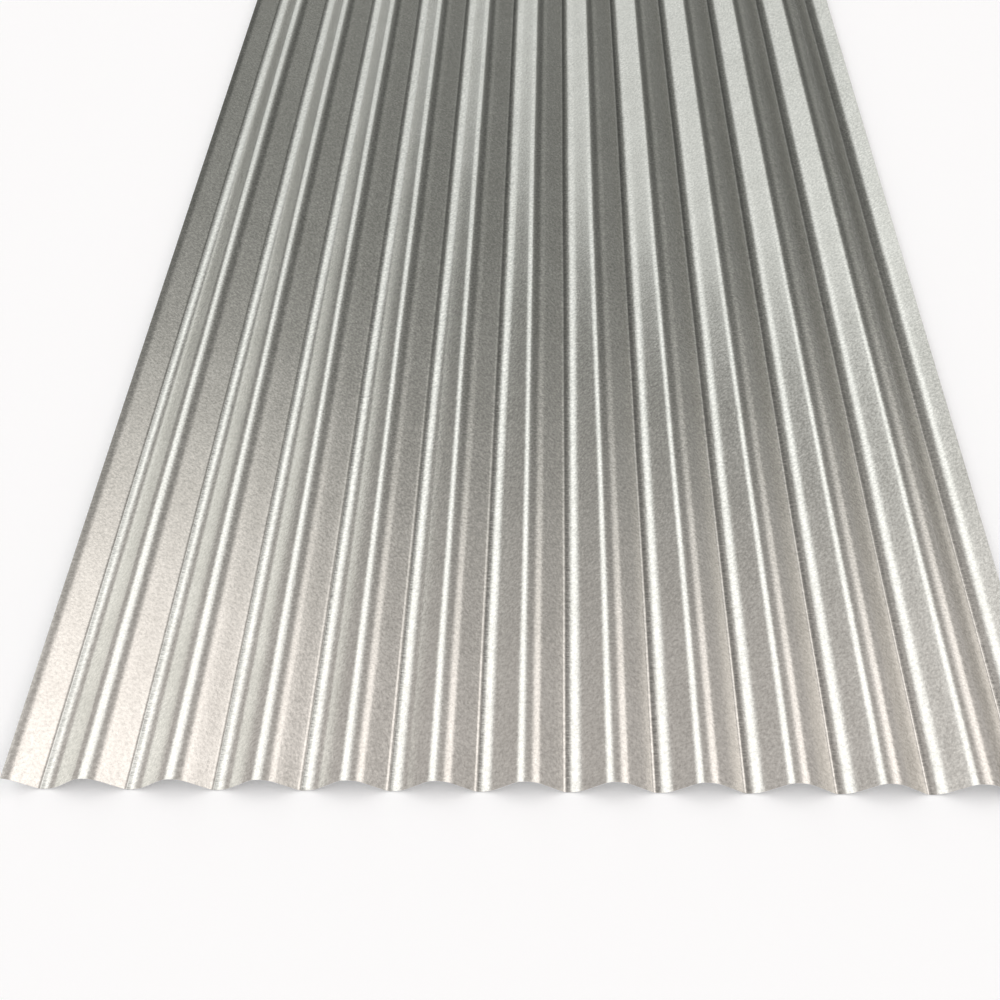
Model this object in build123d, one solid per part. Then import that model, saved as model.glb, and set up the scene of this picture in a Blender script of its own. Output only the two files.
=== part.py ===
"""A galvanised corrugated roofing sheet: one flat strip of coil, rolled into rounded waves.

The sheet lies as it would on a level floor: X runs across the waves, Y runs along them and Z is up.
The origin is on the floor under the middle of the sheet. All sizes are in millimetres.
"""

from build123d import *
from math import atan2, degrees, sqrt
import os

# The sheet as it is sold
sheet_length = 1829.0
sheet_thickness = 0.5

# The waves, measured on the middle of the metal's thickness
cover_waves = 11
wave_pitch = 76.0
wave_depth = 17.5
crest_flat = 1.0
valley_flat = 1.0

# The rolls leave the left bend of each crest and valley tighter than the right one, and each valley
# a little to the left of halfway between its crests
crest_left_radius = 16.0
crest_right_radius = 25.0
valley_left_radius = 8.0
valley_right_radius = 26.0
valley_lean = 1.5

# From the middle of the outermost valley to the slit edge beside it
left_edge_reach = 32.0
right_edge_reach = 27.0

# The width that one sheet covers on a roof, from its first valley to its last
cover_width = cover_waves * wave_pitch
sheet_width = left_edge_reach + cover_width + right_edge_reach
first_valley_x = left_edge_reach - sheet_width / 2

# Across the sheet, from a crest down to the next valley, and from that valley up to the next crest
fall_width = wave_pitch / 2 - valley_lean
rise_width = wave_pitch / 2 + valley_lean


def flank(width, crest_radius, valley_radius):
    """The straight part between a crest bend and a valley bend, as its length and its slope in degrees.

    It is the inner tangent of the two bends, whose centres stand `run` apart across the sheet.
    """
    run = width - (crest_flat + valley_flat) / 2
    radii = crest_radius + valley_radius
    length = sqrt(run**2 + wave_depth**2 - 2 * wave_depth * radii)
    slope = atan2(wave_depth - radii, run) + atan2(radii, length)
    return length, degrees(slope)


def surface_line(height):
    """One surface of the metal in section, `height` above its middle, from the crest before the first
    valley to the crest after the last. A surface further out on a bend has the larger radius."""
    fall_length, fall_slope = flank(fall_width, crest_right_radius, valley_left_radius)
    rise_length, rise_slope = flank(rise_width, crest_left_radius, valley_right_radius)
    start_x = first_valley_x - fall_width - crest_flat / 2
    start_z = wave_depth + sheet_thickness / 2 + height
    edges = [Line((start_x, start_z), (start_x + crest_flat, start_z))]

    def straight(length):
        edges.append(Line(edges[-1] @ 1, edges[-1] @ 1 + (edges[-1] % 1) * length))

    def bend(radius, turn):
        edges.append(JernArc(edges[-1] @ 1, edges[-1] % 1, radius, turn))

    for _ in range(cover_waves + 1):
        bend(crest_right_radius + height, -fall_slope)
        straight(fall_length)
        bend(valley_left_radius - height, fall_slope)
        straight(valley_flat)
        bend(valley_right_radius - height, rise_slope)
        straight(rise_length)
        bend(crest_left_radius + height, -rise_slope)
        straight(crest_flat)
    return edges


def corrugated_sheet():
    """The section between the two surfaces, cut at the slit edges and carried along the sheet's length."""
    top = surface_line(sheet_thickness / 2)
    underside = surface_line(-sheet_thickness / 2)
    ends = [Line(underside[0] @ 0, top[0] @ 0), Line(underside[-1] @ 1, top[-1] @ 1)]
    strip = make_face(top + underside + ends)
    section = strip & Rectangle(sheet_width, 4 * wave_depth)
    return extrude(Plane.XZ * section, sheet_length / 2, both=True)


os.makedirs("parts", exist_ok=True)
sheet = corrugated_sheet()
sheet.label = "corrugated_sheet"
export_step(sheet, "parts/corrugated_sheet.step")
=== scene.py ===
"""A galvanised corrugated roofing sheet lying on a pale studio floor.

X runs across the waves, Y along them and Z is up, in metres. Sizes are written in millimetres, as on a
maker's drawing, and MM turns them to metres.
"""

import math

import bpy
import numpy as np
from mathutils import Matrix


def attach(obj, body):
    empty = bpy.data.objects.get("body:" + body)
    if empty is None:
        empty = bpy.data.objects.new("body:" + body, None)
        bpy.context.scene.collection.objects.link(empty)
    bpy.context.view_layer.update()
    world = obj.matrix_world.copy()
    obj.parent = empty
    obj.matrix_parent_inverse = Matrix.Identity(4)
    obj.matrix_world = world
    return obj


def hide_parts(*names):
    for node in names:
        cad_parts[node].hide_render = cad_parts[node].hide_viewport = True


MM = 0.001

# The sheet
SHEET_LENGTH = 1829.0
SHEET_THICKNESS = 0.5
COVER_WAVES = 11
WAVE_PITCH = 76.0
WAVE_DEPTH = 17.5
CREST_FLAT = 1.0
VALLEY_FLAT = 1.0
CREST_LEFT_RADIUS = 16.0
CREST_RIGHT_RADIUS = 25.0
VALLEY_LEFT_RADIUS = 8.0
VALLEY_RIGHT_RADIUS = 26.0
VALLEY_LEAN = 1.5
LEFT_EDGE_REACH = 32.0
RIGHT_EDGE_REACH = 27.0
FALL_WIDTH = WAVE_PITCH / 2 - VALLEY_LEAN
RISE_WIDTH = WAVE_PITCH / 2 + VALLEY_LEAN

# Wave points nearer than this to a slit edge give way to the cut itself
CUT_GAP = 0.5

# How a bend strays sideways along the sheet: the seed, each sine wave's length and reach in mm, and the range of
# its phase's drift across the sheet, in radians per mm
WANDER_SEED = 7
WANDER_WAVES = ((930.0, 0.16), (410.0, 0.09), (170.0, 0.04))
WANDER_DRIFT = (0.008, 0.02)

# How finely its surfaces are drawn
BEND_STEPS = 7
FLANK_STEPS = 3
VALLEY_STEPS = 2
LENGTH_STEPS = 88

# The valley slopes in degrees that carry the drag marks and the painted shade over them: the middle of the band, how
# fast it fades, and the share in its middle before it is held to 1
MARKS_AND_SHADE_MIDDLE = -3
MARKS_AND_SHADE_REACH = 8
MARKS_AND_SHADE_PEAK = 1.3

# The zinc's features in mm. The real grain is about 0.5 mm; it is drawn at 3 mm with finer detail, because less
# than a pixel would not show. Drag marks are long across the wave and close together along it, and clouds are
# patches of heavier and lighter zinc.
GRAIN_SIZE = 3
MARK_LENGTH = 8
MARK_SPACING = 1.5
CLOUD_SIZE = 60
RELIEF_HEIGHT = 0.16

# How many times deeper the marks are cut than the grain
MARKS_DEPTH = 1.8

# The part of the grain's and the marks' noise that counts, and what its two ends become; the marks' ends are drag
# marks with painted shade
GRAIN_RANGE = (0.3, 0.7)
MARKS_AND_SHADE_RANGE = (0.15, 0.65)
ROUGHNESS = (0.13, 0.23)
FROST = (0.76, 1.20)
DRAG_AND_SHADE = (1.0, 0.45)

# The floor: white that it shows on top of the light that falls on it, half its side in metres, and how far under
# the sheet it lies in mm
FLOOR_LIFT = 0.10
FLOOR_HALF = 40.0
FLOOR_DROP = 0.5

# The camera: yaw, pitch and roll in degrees, its place in metres, and its lens and frame in mm
CAMERA_TURN = (-4.2316, 47.6794, 3.4003)
CAMERA_PLACE = (0.03737, -1.45978, 0.97094)
LENS = 45.869
FRAME_WIDTH = 36

# The room's light as radiance, where 1 shows white. Pairs are overhead and towards the far end's horizon, or
# the start and end of a soft edge; angles are degrees across the sheet from straight up, to the right.
FAR_LEAN = (0.50, 0.84)
LOW_LEAN = (0.70, 0.88)
NEAR_LEAN = (0.47, 0.78)
WALL_LEVEL = (0.60, 0.23)
LEFT_LEVEL = (1.06, 0.62)
LEFT_EDGE = (-15.0, 3.0)
LEFT_EDGE_SHIFT = (0.0, 17.0)
LEFT_REACH = (43.0, 78.0)
LEFT_SOFT = 13.0
RIGHT_LEVEL = (1.02, 0.06)
RIGHT_START = (16.0, 36.0)
RIGHT_END = (47.0, 59.0)
DIM_START = (-20.0, 6.0)
DIM_END = (14.0, 34.0)
DIM_SHARE = (0.04, 0.43)

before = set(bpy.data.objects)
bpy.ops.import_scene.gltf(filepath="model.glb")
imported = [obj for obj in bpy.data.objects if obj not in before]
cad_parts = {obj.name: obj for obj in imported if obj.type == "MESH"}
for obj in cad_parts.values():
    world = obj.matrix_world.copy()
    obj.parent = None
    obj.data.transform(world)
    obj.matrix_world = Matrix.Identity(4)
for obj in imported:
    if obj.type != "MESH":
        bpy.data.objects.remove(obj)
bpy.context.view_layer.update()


def linear(hex_colour):
    """An sRGB hex colour as linear red, green, blue and alpha."""
    srgb = np.array([int(hex_colour[i:i + 2], 16) for i in (1, 3, 5)]) / 255
    low, high = srgb / 12.92, ((srgb + 0.055) / 1.055) ** 2.4
    return (*np.where(srgb <= 0.04045, low, high).tolist(), 1.0)


def add(tree, kind, links=None, **settings):
    """Adds one node, with its settings, its sockets' values and its links.

    A setting whose name is one of the node's sockets goes to that socket. A link is a socket to link from, or
    the value of a socket that has no name of its own.
    """
    node = tree.nodes.new(kind)
    for name, value in settings.items():
        socket = name.replace("_", " ")
        if socket in node.inputs:
            node.inputs[socket].default_value = value
        else:
            setattr(node, name, value)
    for socket, source in (links or {}).items():
        if isinstance(source, bpy.types.NodeSocket):
            tree.links.new(source, node.inputs[socket])
        else:
            node.inputs[socket].default_value = source
    return node


def flank(width, crest_radius, valley_radius):
    """Length and slope of the straight between two bends: the inner tangent of two circles whose centres
    stand a crest and valley apart across the sheet, less half of each flat."""
    run = width - (CREST_FLAT + VALLEY_FLAT) / 2
    radii = crest_radius + valley_radius
    length = math.sqrt(run**2 + WAVE_DEPTH**2 - 2 * WAVE_DEPTH * radii)
    return length, math.atan2(WAVE_DEPTH - radii, run) + math.atan2(radii, length)


def wave_middle():
    """One wave of the metal's middle, from a crest's middle to the next: x, z, slope and valley share.

    Each stretch has a length and a turn. The slope at a share s of a stretch is the slope at its start plus s
    times its turn, and the chord of that turn, L sin(turn/2)/(turn/2), gives the step to each point. The valley
    share is full where the low half of the wave lies near the marks' middle slope and fades out either side.
    """
    fall, fall_slope = flank(FALL_WIDTH, CREST_RIGHT_RADIUS, VALLEY_LEFT_RADIUS)
    rise, rise_slope = flank(RISE_WIDTH, CREST_LEFT_RADIUS, VALLEY_RIGHT_RADIUS)
    lengths = np.array([
        CREST_FLAT / 2, CREST_RIGHT_RADIUS * fall_slope, fall, VALLEY_LEFT_RADIUS * fall_slope,
        VALLEY_FLAT, VALLEY_RIGHT_RADIUS * rise_slope, rise, CREST_LEFT_RADIUS * rise_slope, CREST_FLAT / 2,
    ])
    turns = np.array([0, -fall_slope, 0, fall_slope, 0, rise_slope, 0, -rise_slope, 0])
    steps = np.array([
        1, BEND_STEPS, FLANK_STEPS, BEND_STEPS, VALLEY_STEPS, BEND_STEPS, FLANK_STEPS, BEND_STEPS, 1,
    ])
    step_length = np.repeat(lengths / steps, steps)
    step_turn = np.repeat(turns / steps, steps)
    slope = np.concatenate([[0], np.cumsum(step_turn)])
    chord = step_length * np.sinc(step_turn / (2 * np.pi))
    heading = slope[:-1] + step_turn / 2
    x = np.concatenate([[0], np.cumsum(chord * np.cos(heading))])
    z = WAVE_DEPTH + np.concatenate([[0], np.cumsum(chord * np.sin(heading))])
    # The valley share masks the drag marks and the painted shade in each valley's bottom
    off_middle = np.abs(np.degrees(slope) - MARKS_AND_SHADE_MIDDLE)
    valley = np.clip(MARKS_AND_SHADE_PEAK - off_middle / MARKS_AND_SHADE_REACH, 0, 1) * (z < WAVE_DEPTH / 2)
    return x, z, slope, valley


def section():
    """The sheet's section: the wave repeated across it and cut at both slit edges, as the top and underside
    points and the valley share. A surface lies half the thickness off the middle, square to its slope; at
    the two cuts it is measured straight up, which is half the thickness over the slope's cosine."""
    x, z, slope, valley = wave_middle()
    width = LEFT_EDGE_REACH + COVER_WAVES * WAVE_PITCH + RIGHT_EDGE_REACH
    first_crest = LEFT_EDGE_REACH - width / 2 - FALL_WIDTH
    starts = first_crest + WAVE_PITCH * np.arange(COVER_WAVES + 1)
    all_x = np.append((starts[:, None] + x[None, :-1]).ravel(), starts[-1] + x[-1])
    inside = np.abs(all_x) < width / 2 - CUT_GAP

    def cut(values):
        """Values across the whole sheet, ended at both slit edges."""
        left, right = np.interp([-width / 2, width / 2], all_x, values)
        return np.concatenate([[left], values[inside], [right]])

    def repeated(values):
        """One wave's values, repeated across the sheet and cut."""
        return cut(np.append(np.tile(values[:-1], COVER_WAVES + 1), values[-1]))

    mid_x, mid_z, mid_slope, share = cut(all_x), repeated(z), repeated(slope), repeated(valley)
    half = SHEET_THICKNESS / 2
    aside, up = -half * np.sin(mid_slope), half * np.cos(mid_slope)
    aside[[0, -1]] = 0
    up[[0, -1]] = half / np.cos(mid_slope[[0, -1]])
    top = np.stack([mid_x + aside, mid_z + up + half])
    underside = np.stack([mid_x - aside, mid_z - up + half])
    return top, underside, share


def wander(x, y):
    """How far a bend strays sideways along the sheet, in millimetres: three slow sine waves along Y whose
    phase drifts across X, faded to nothing at the slit edges."""
    rng = np.random.default_rng(WANDER_SEED)
    edge = np.clip((np.abs(x).max() - np.abs(x)) / WAVE_PITCH, 0, 1)
    total = np.zeros(np.broadcast(x, y).shape)
    for wavelength, most in WANDER_WAVES:
        start, drift = rng.uniform(0, 2 * np.pi), rng.uniform(*WANDER_DRIFT)
        total += most * np.sin(2 * np.pi * y / wavelength + start + drift * x)
    return total * edge


def rolled_sheet():
    """The sheet as one closed shell: the section's loop, top left to right and underside right to left,
    carried along Y, with a strip of quads from top to underside closing each cut end."""
    top, underside, share = section()
    loop = np.concatenate([top, underside[:, ::-1]], axis=1)
    loop_share = np.concatenate([share, share[::-1]])
    y = np.linspace(-SHEET_LENGTH / 2, SHEET_LENGTH / 2, LENGTH_STEPS + 1)
    across, along = loop.shape[1], len(y)
    x_grid = loop[0][None, :] + wander(loop[0][None, :], y[:, None])
    points = np.stack([x_grid, np.repeat(y[:, None], across, 1), np.tile(loop[1], (along, 1))], axis=-1)
    index = np.arange(along * across).reshape(along, across)
    beside = np.roll(index, -1, axis=1)
    walls = np.stack([index[:-1], beside[:-1], beside[1:], index[1:]], -1).reshape(-1, 4)
    half = across // 2
    near, far = index[0], index[-1]
    step = np.arange(half - 1)
    front = np.stack([near[step + 1], near[step], near[across - 1 - step], near[across - 2 - step]], -1)
    back = np.stack([far[step], far[step + 1], far[across - 2 - step], far[across - 1 - step]], -1)
    faces = np.concatenate([walls, front, back])
    mesh = bpy.data.meshes.new("corrugated_sheet_rolled")
    mesh.from_pydata((points.reshape(-1, 3) * MM).tolist(), [], faces.tolist())
    mesh.update()
    mesh.shade_smooth()
    ends = np.zeros(len(mesh.edges) * 2, np.int32)
    mesh.edges.foreach_get("vertices", ends)
    row, column = np.divmod(ends.reshape(-1, 2), across)
    lengthwise = (column[:, 0] == column[:, 1]) & np.isin(column[:, 0], (0, half - 1, half, across - 1))
    round_the_cut = (row[:, 0] == row[:, 1]) & np.isin(row[:, 0], (0, along - 1))
    sharp = mesh.attributes.new("sharp_edge", "BOOLEAN", "EDGE")
    sharp.data.foreach_set("value", lengthwise | round_the_cut)
    valley = mesh.attributes.new("valley", "FLOAT", "POINT")
    valley.data.foreach_set("value", np.tile(loop_share, along).astype(np.float32))
    sheet = bpy.data.objects.new("rolled_sheet", mesh)
    bpy.context.scene.collection.objects.link(sheet)
    return sheet


def galvanised_steel():
    """Hot-dip galvanised steel, skin-passed: the rolls flatten the zinc's crystals, so it has no spangle, only
    a fine frosted grain and a satin sheen. Forming drags the zinc in the valleys, which leaves short marks
    across the wave that make the edges of the highlights ragged."""
    material = bpy.data.materials.new("galvanised_steel_skin_passed")
    material.use_nodes = True
    tree = material.node_tree
    tree.nodes.clear()
    place = add(tree, "ShaderNodeTexCoord").outputs["Object"]
    grain = add(tree, "ShaderNodeTexNoise", {"Vector": place}, Scale=1 / (GRAIN_SIZE * MM), Detail=3.0, Roughness=0.7)
    across, along = 1 / (MARK_LENGTH * MM), 1 / (MARK_SPACING * MM)
    stretched = add(tree, "ShaderNodeMapping", {"Vector": place}, Scale=(across, along, across))
    marks = add(tree, "ShaderNodeTexNoise", {"Vector": stretched.outputs["Vector"]}, Scale=1.0, Detail=2.0)
    cloud = add(tree, "ShaderNodeTexNoise", {"Vector": place}, Scale=1 / (CLOUD_SIZE * MM), Detail=2.0)
    valley = add(tree, "ShaderNodeAttribute", attribute_name="valley")
    colour = add(tree, "ShaderNodeMix", {
        "Factor": cloud.outputs["Fac"], 6: linear("#D2D1CD"), 7: linear("#E3E2DF"),
    }, data_type="RGBA")
    rough = add(tree, "ShaderNodeMapRange", {"Value": grain.outputs["Fac"]},
                From_Min=GRAIN_RANGE[0], From_Max=GRAIN_RANGE[1], To_Min=ROUGHNESS[0], To_Max=ROUGHNESS[1])
    # The marks in each valley give it relief and also painted shade: the valley's bottom is painted darker along them
    valley_marks_and_shade = add(tree, "ShaderNodeMath", {0: valley.outputs["Fac"], 1: marks.outputs["Fac"]}, operation="MULTIPLY")
    deep = add(tree, "ShaderNodeMath", {0: valley_marks_and_shade.outputs[0], 1: MARKS_DEPTH}, operation="MULTIPLY")
    height = add(tree, "ShaderNodeMath", {0: deep.outputs[0], 1: grain.outputs["Fac"]}, operation="ADD")
    relief = add(tree, "ShaderNodeBump", {"Height": height.outputs[0]}, Strength=0.6, Distance=RELIEF_HEIGHT * MM)
    # Painted shade with the drag marks: along the marks a valley's middle is painted darker, the strongest marks
    # taking 55 per cent of the light
    drag_and_shade = add(tree, "ShaderNodeMapRange", {"Value": valley_marks_and_shade.outputs[0]},
               From_Min=MARKS_AND_SHADE_RANGE[0], From_Max=MARKS_AND_SHADE_RANGE[1], To_Min=DRAG_AND_SHADE[0], To_Max=DRAG_AND_SHADE[1])
    # The frosted grain itself is lighter and darker by about a fifth
    frost = add(tree, "ShaderNodeMapRange", {"Value": grain.outputs["Fac"]},
                From_Min=GRAIN_RANGE[0], From_Max=GRAIN_RANGE[1], To_Min=FROST[0], To_Max=FROST[1])
    tone = add(tree, "ShaderNodeMath", {0: drag_and_shade.outputs["Result"], 1: frost.outputs["Result"]}, operation="MULTIPLY")
    toned = add(tree, "ShaderNodeVectorMath", {0: colour.outputs[2], "Scale": tone.outputs[0]}, operation="SCALE")
    shader = add(tree, "ShaderNodeBsdfPrincipled", {
        "Base Color": toned.outputs["Vector"], "Roughness": rough.outputs["Result"],
        "Normal": relief.outputs["Normal"],
    }, Metallic=1.0)
    add(tree, "ShaderNodeOutputMaterial", {"Surface": shader.outputs["BSDF"]})
    return material


def room_light():
    """The room as a plain function of direction: walls that brighten overhead and are dimmest between its two
    windows, a wide window high on the left that reaches lower towards the far end, and a narrower one on the
    right over the near end only.

    A direction is split into its angle across the sheet, from straight up, and its lean along Y. Each edge is a
    smooth change from one level to another while its source goes from start to end. The light is
    walls (1 - dim) + left window + right window, each window a product of its two edges and its level."""
    room = bpy.data.worlds.new("room")
    room.use_nodes = True
    tree = room.node_tree
    tree.nodes.clear()
    direction = add(tree, "ShaderNodeTexCoord").outputs["Generated"]
    part = add(tree, "ShaderNodeSeparateXYZ", {"Vector": direction}).outputs
    across = add(tree, "ShaderNodeMath", {0: part["X"], 1: part["Z"]}, operation="ARCTAN2").outputs[0]
    angle = add(tree, "ShaderNodeMath", {0: across, 1: math.degrees(1)}, operation="MULTIPLY").outputs[0]
    value = {"angle": angle, "lean": part["Y"], "one": 1.0}
    # An edge gives its source, where it starts and ends, and its two levels. A join gives an operation and the
    # two values that it joins.
    steps = (
        ("wall_level", "lean", FAR_LEAN, WALL_LEVEL),
        ("dim_share", "lean", FAR_LEAN, DIM_SHARE),
        ("dim_start", "angle", DIM_START, (0, 1)),
        ("dim_end", "angle", DIM_END, (1, 0)),
        ("left_level", "lean", LOW_LEAN, LEFT_LEVEL),
        ("left_reach", "lean", LOW_LEAN, LEFT_REACH),
        ("left_shift", "lean", FAR_LEAN, LEFT_EDGE_SHIFT),
        ("right_level", "lean", NEAR_LEAN, RIGHT_LEVEL),
        ("right_start", "angle", RIGHT_START, (0, 1)),
        ("right_end", "angle", RIGHT_END, (1, 0)),
        ("far", "lean", FAR_LEAN, (0, 1)),
        ("reached", "ADD", "angle", "left_reach"),
        ("left_start", "reached", (-LEFT_SOFT, LEFT_SOFT), (0, 1)),
        ("shifted", "ADD", "angle", "left_shift"),
        ("left_end", "shifted", LEFT_EDGE, (1, 0)),
        ("dim_band", "MULTIPLY", "dim_start", "dim_end"),
        ("dim", "MULTIPLY", "dim_band", "dim_share"),
        ("lit", "SUBTRACT", "one", "dim"),
        ("walls", "MULTIPLY", "wall_level", "lit"),
        ("right_band", "MULTIPLY", "right_start", "right_end"),
        ("right", "MULTIPLY", "right_band", "right_level"),
        ("warm", "ADD", "walls", "right"),
        ("left_band", "MULTIPLY", "left_start", "left_end"),
        ("left", "MULTIPLY", "left_band", "left_level"),
    )
    for name, how, first, second in steps:
        if how in value:
            node = add(tree, "ShaderNodeMapRange", {"Value": value[how]}, interpolation_type="SMOOTHSTEP",
                       From_Min=first[0], From_Max=first[1], To_Min=second[0], To_Max=second[1])
        else:
            node = add(tree, "ShaderNodeMath", {0: value[first], 1: value[second]}, operation=how)
        value[name] = node.outputs[0]
    tint = add(tree, "ShaderNodeMix", {
        "Factor": value["far"], 6: linear("#FFF8F3"), 7: linear("#FDFFF8"),
    }, data_type="RGBA")
    warm = add(tree, "ShaderNodeBackground", {"Color": tint.outputs[2], "Strength": value["warm"]})
    cool = add(tree, "ShaderNodeBackground", {"Strength": value["left"]}, Color=linear("#FCFFFD"))
    both = add(tree, "ShaderNodeAddShader", {0: warm.outputs[0], 1: cool.outputs[0]})
    add(tree, "ShaderNodeOutputWorld", {"Surface": both.outputs[0]})
    bpy.context.scene.world = room


def floor():
    """A pale floor, wide enough that its edges stay out of sight, just under the sheet."""
    material = bpy.data.materials.new("floor_white")
    material.use_nodes = True
    tree = material.node_tree
    shader = tree.nodes["Principled BSDF"]
    shader.inputs["Base Color"].default_value = linear("#F1F3F7")
    shader.inputs["Roughness"].default_value = 0.9
    # The lift shows to the eye and in the metal only, so it lights nothing else and the sheet's shadow stays
    path = add(tree, "ShaderNodeLightPath").outputs
    seen = add(tree, "ShaderNodeMath", {0: path["Is Camera Ray"], 1: path["Is Glossy Ray"]}, operation="MAXIMUM")
    shown = add(tree, "ShaderNodeMath", {0: seen.outputs[0], 1: path["Is Transmission Ray"]}, operation="MAXIMUM")
    lift = add(tree, "ShaderNodeMath", {0: shown.outputs[0], 1: FLOOR_LIFT}, operation="MULTIPLY")
    tree.links.new(lift.outputs[0], shader.inputs["Emission Strength"])
    shader.inputs["Emission Color"].default_value = linear("#FFFFFF")
    mesh = bpy.data.meshes.new("floor")
    corners = [(x * FLOOR_HALF, y * FLOOR_HALF, 0) for x, y in ((-1, -1), (1, -1), (1, 1), (-1, 1))]
    mesh.from_pydata(corners, [], [(0, 1, 2, 3)])
    mesh.materials.append(material)
    ground = bpy.data.objects.new("floor", mesh)
    ground.location.z = -FLOOR_DROP * MM
    bpy.context.scene.collection.objects.link(ground)


def camera():
    """A 46 mm lens on a 36 mm frame, looking down at the sheet's near end, turned and rolled a little left."""
    yaw, pitch, roll = (math.radians(a) for a in CAMERA_TURN)
    forward = np.array([math.sin(yaw) * math.cos(pitch), math.cos(yaw) * math.cos(pitch), -math.sin(pitch)])
    level = np.array([math.cos(yaw), -math.sin(yaw), 0])
    down = np.cross(forward, level)
    right = math.cos(roll) * level + math.sin(roll) * down
    up = math.sin(roll) * level - math.cos(roll) * down
    data = bpy.data.cameras.new("camera")
    data.sensor_width, data.lens = FRAME_WIDTH, LENS
    data.clip_start, data.clip_end = 0.01, 100
    eye = bpy.data.objects.new("camera", data)
    turn = np.eye(4)
    turn[:3, 0], turn[:3, 1], turn[:3, 2] = right, up, -forward
    turn[:3, 3] = CAMERA_PLACE
    eye.matrix_world = turn.T
    bpy.context.scene.collection.objects.link(eye)
    bpy.context.scene.camera = eye


camera()
room_light()
floor()
sheet = rolled_sheet()
sheet.data.materials.append(galvanised_steel())
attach(sheet, "root")
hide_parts("corrugated_sheet")

bpy.context.scene.view_settings.view_transform = "Standard"
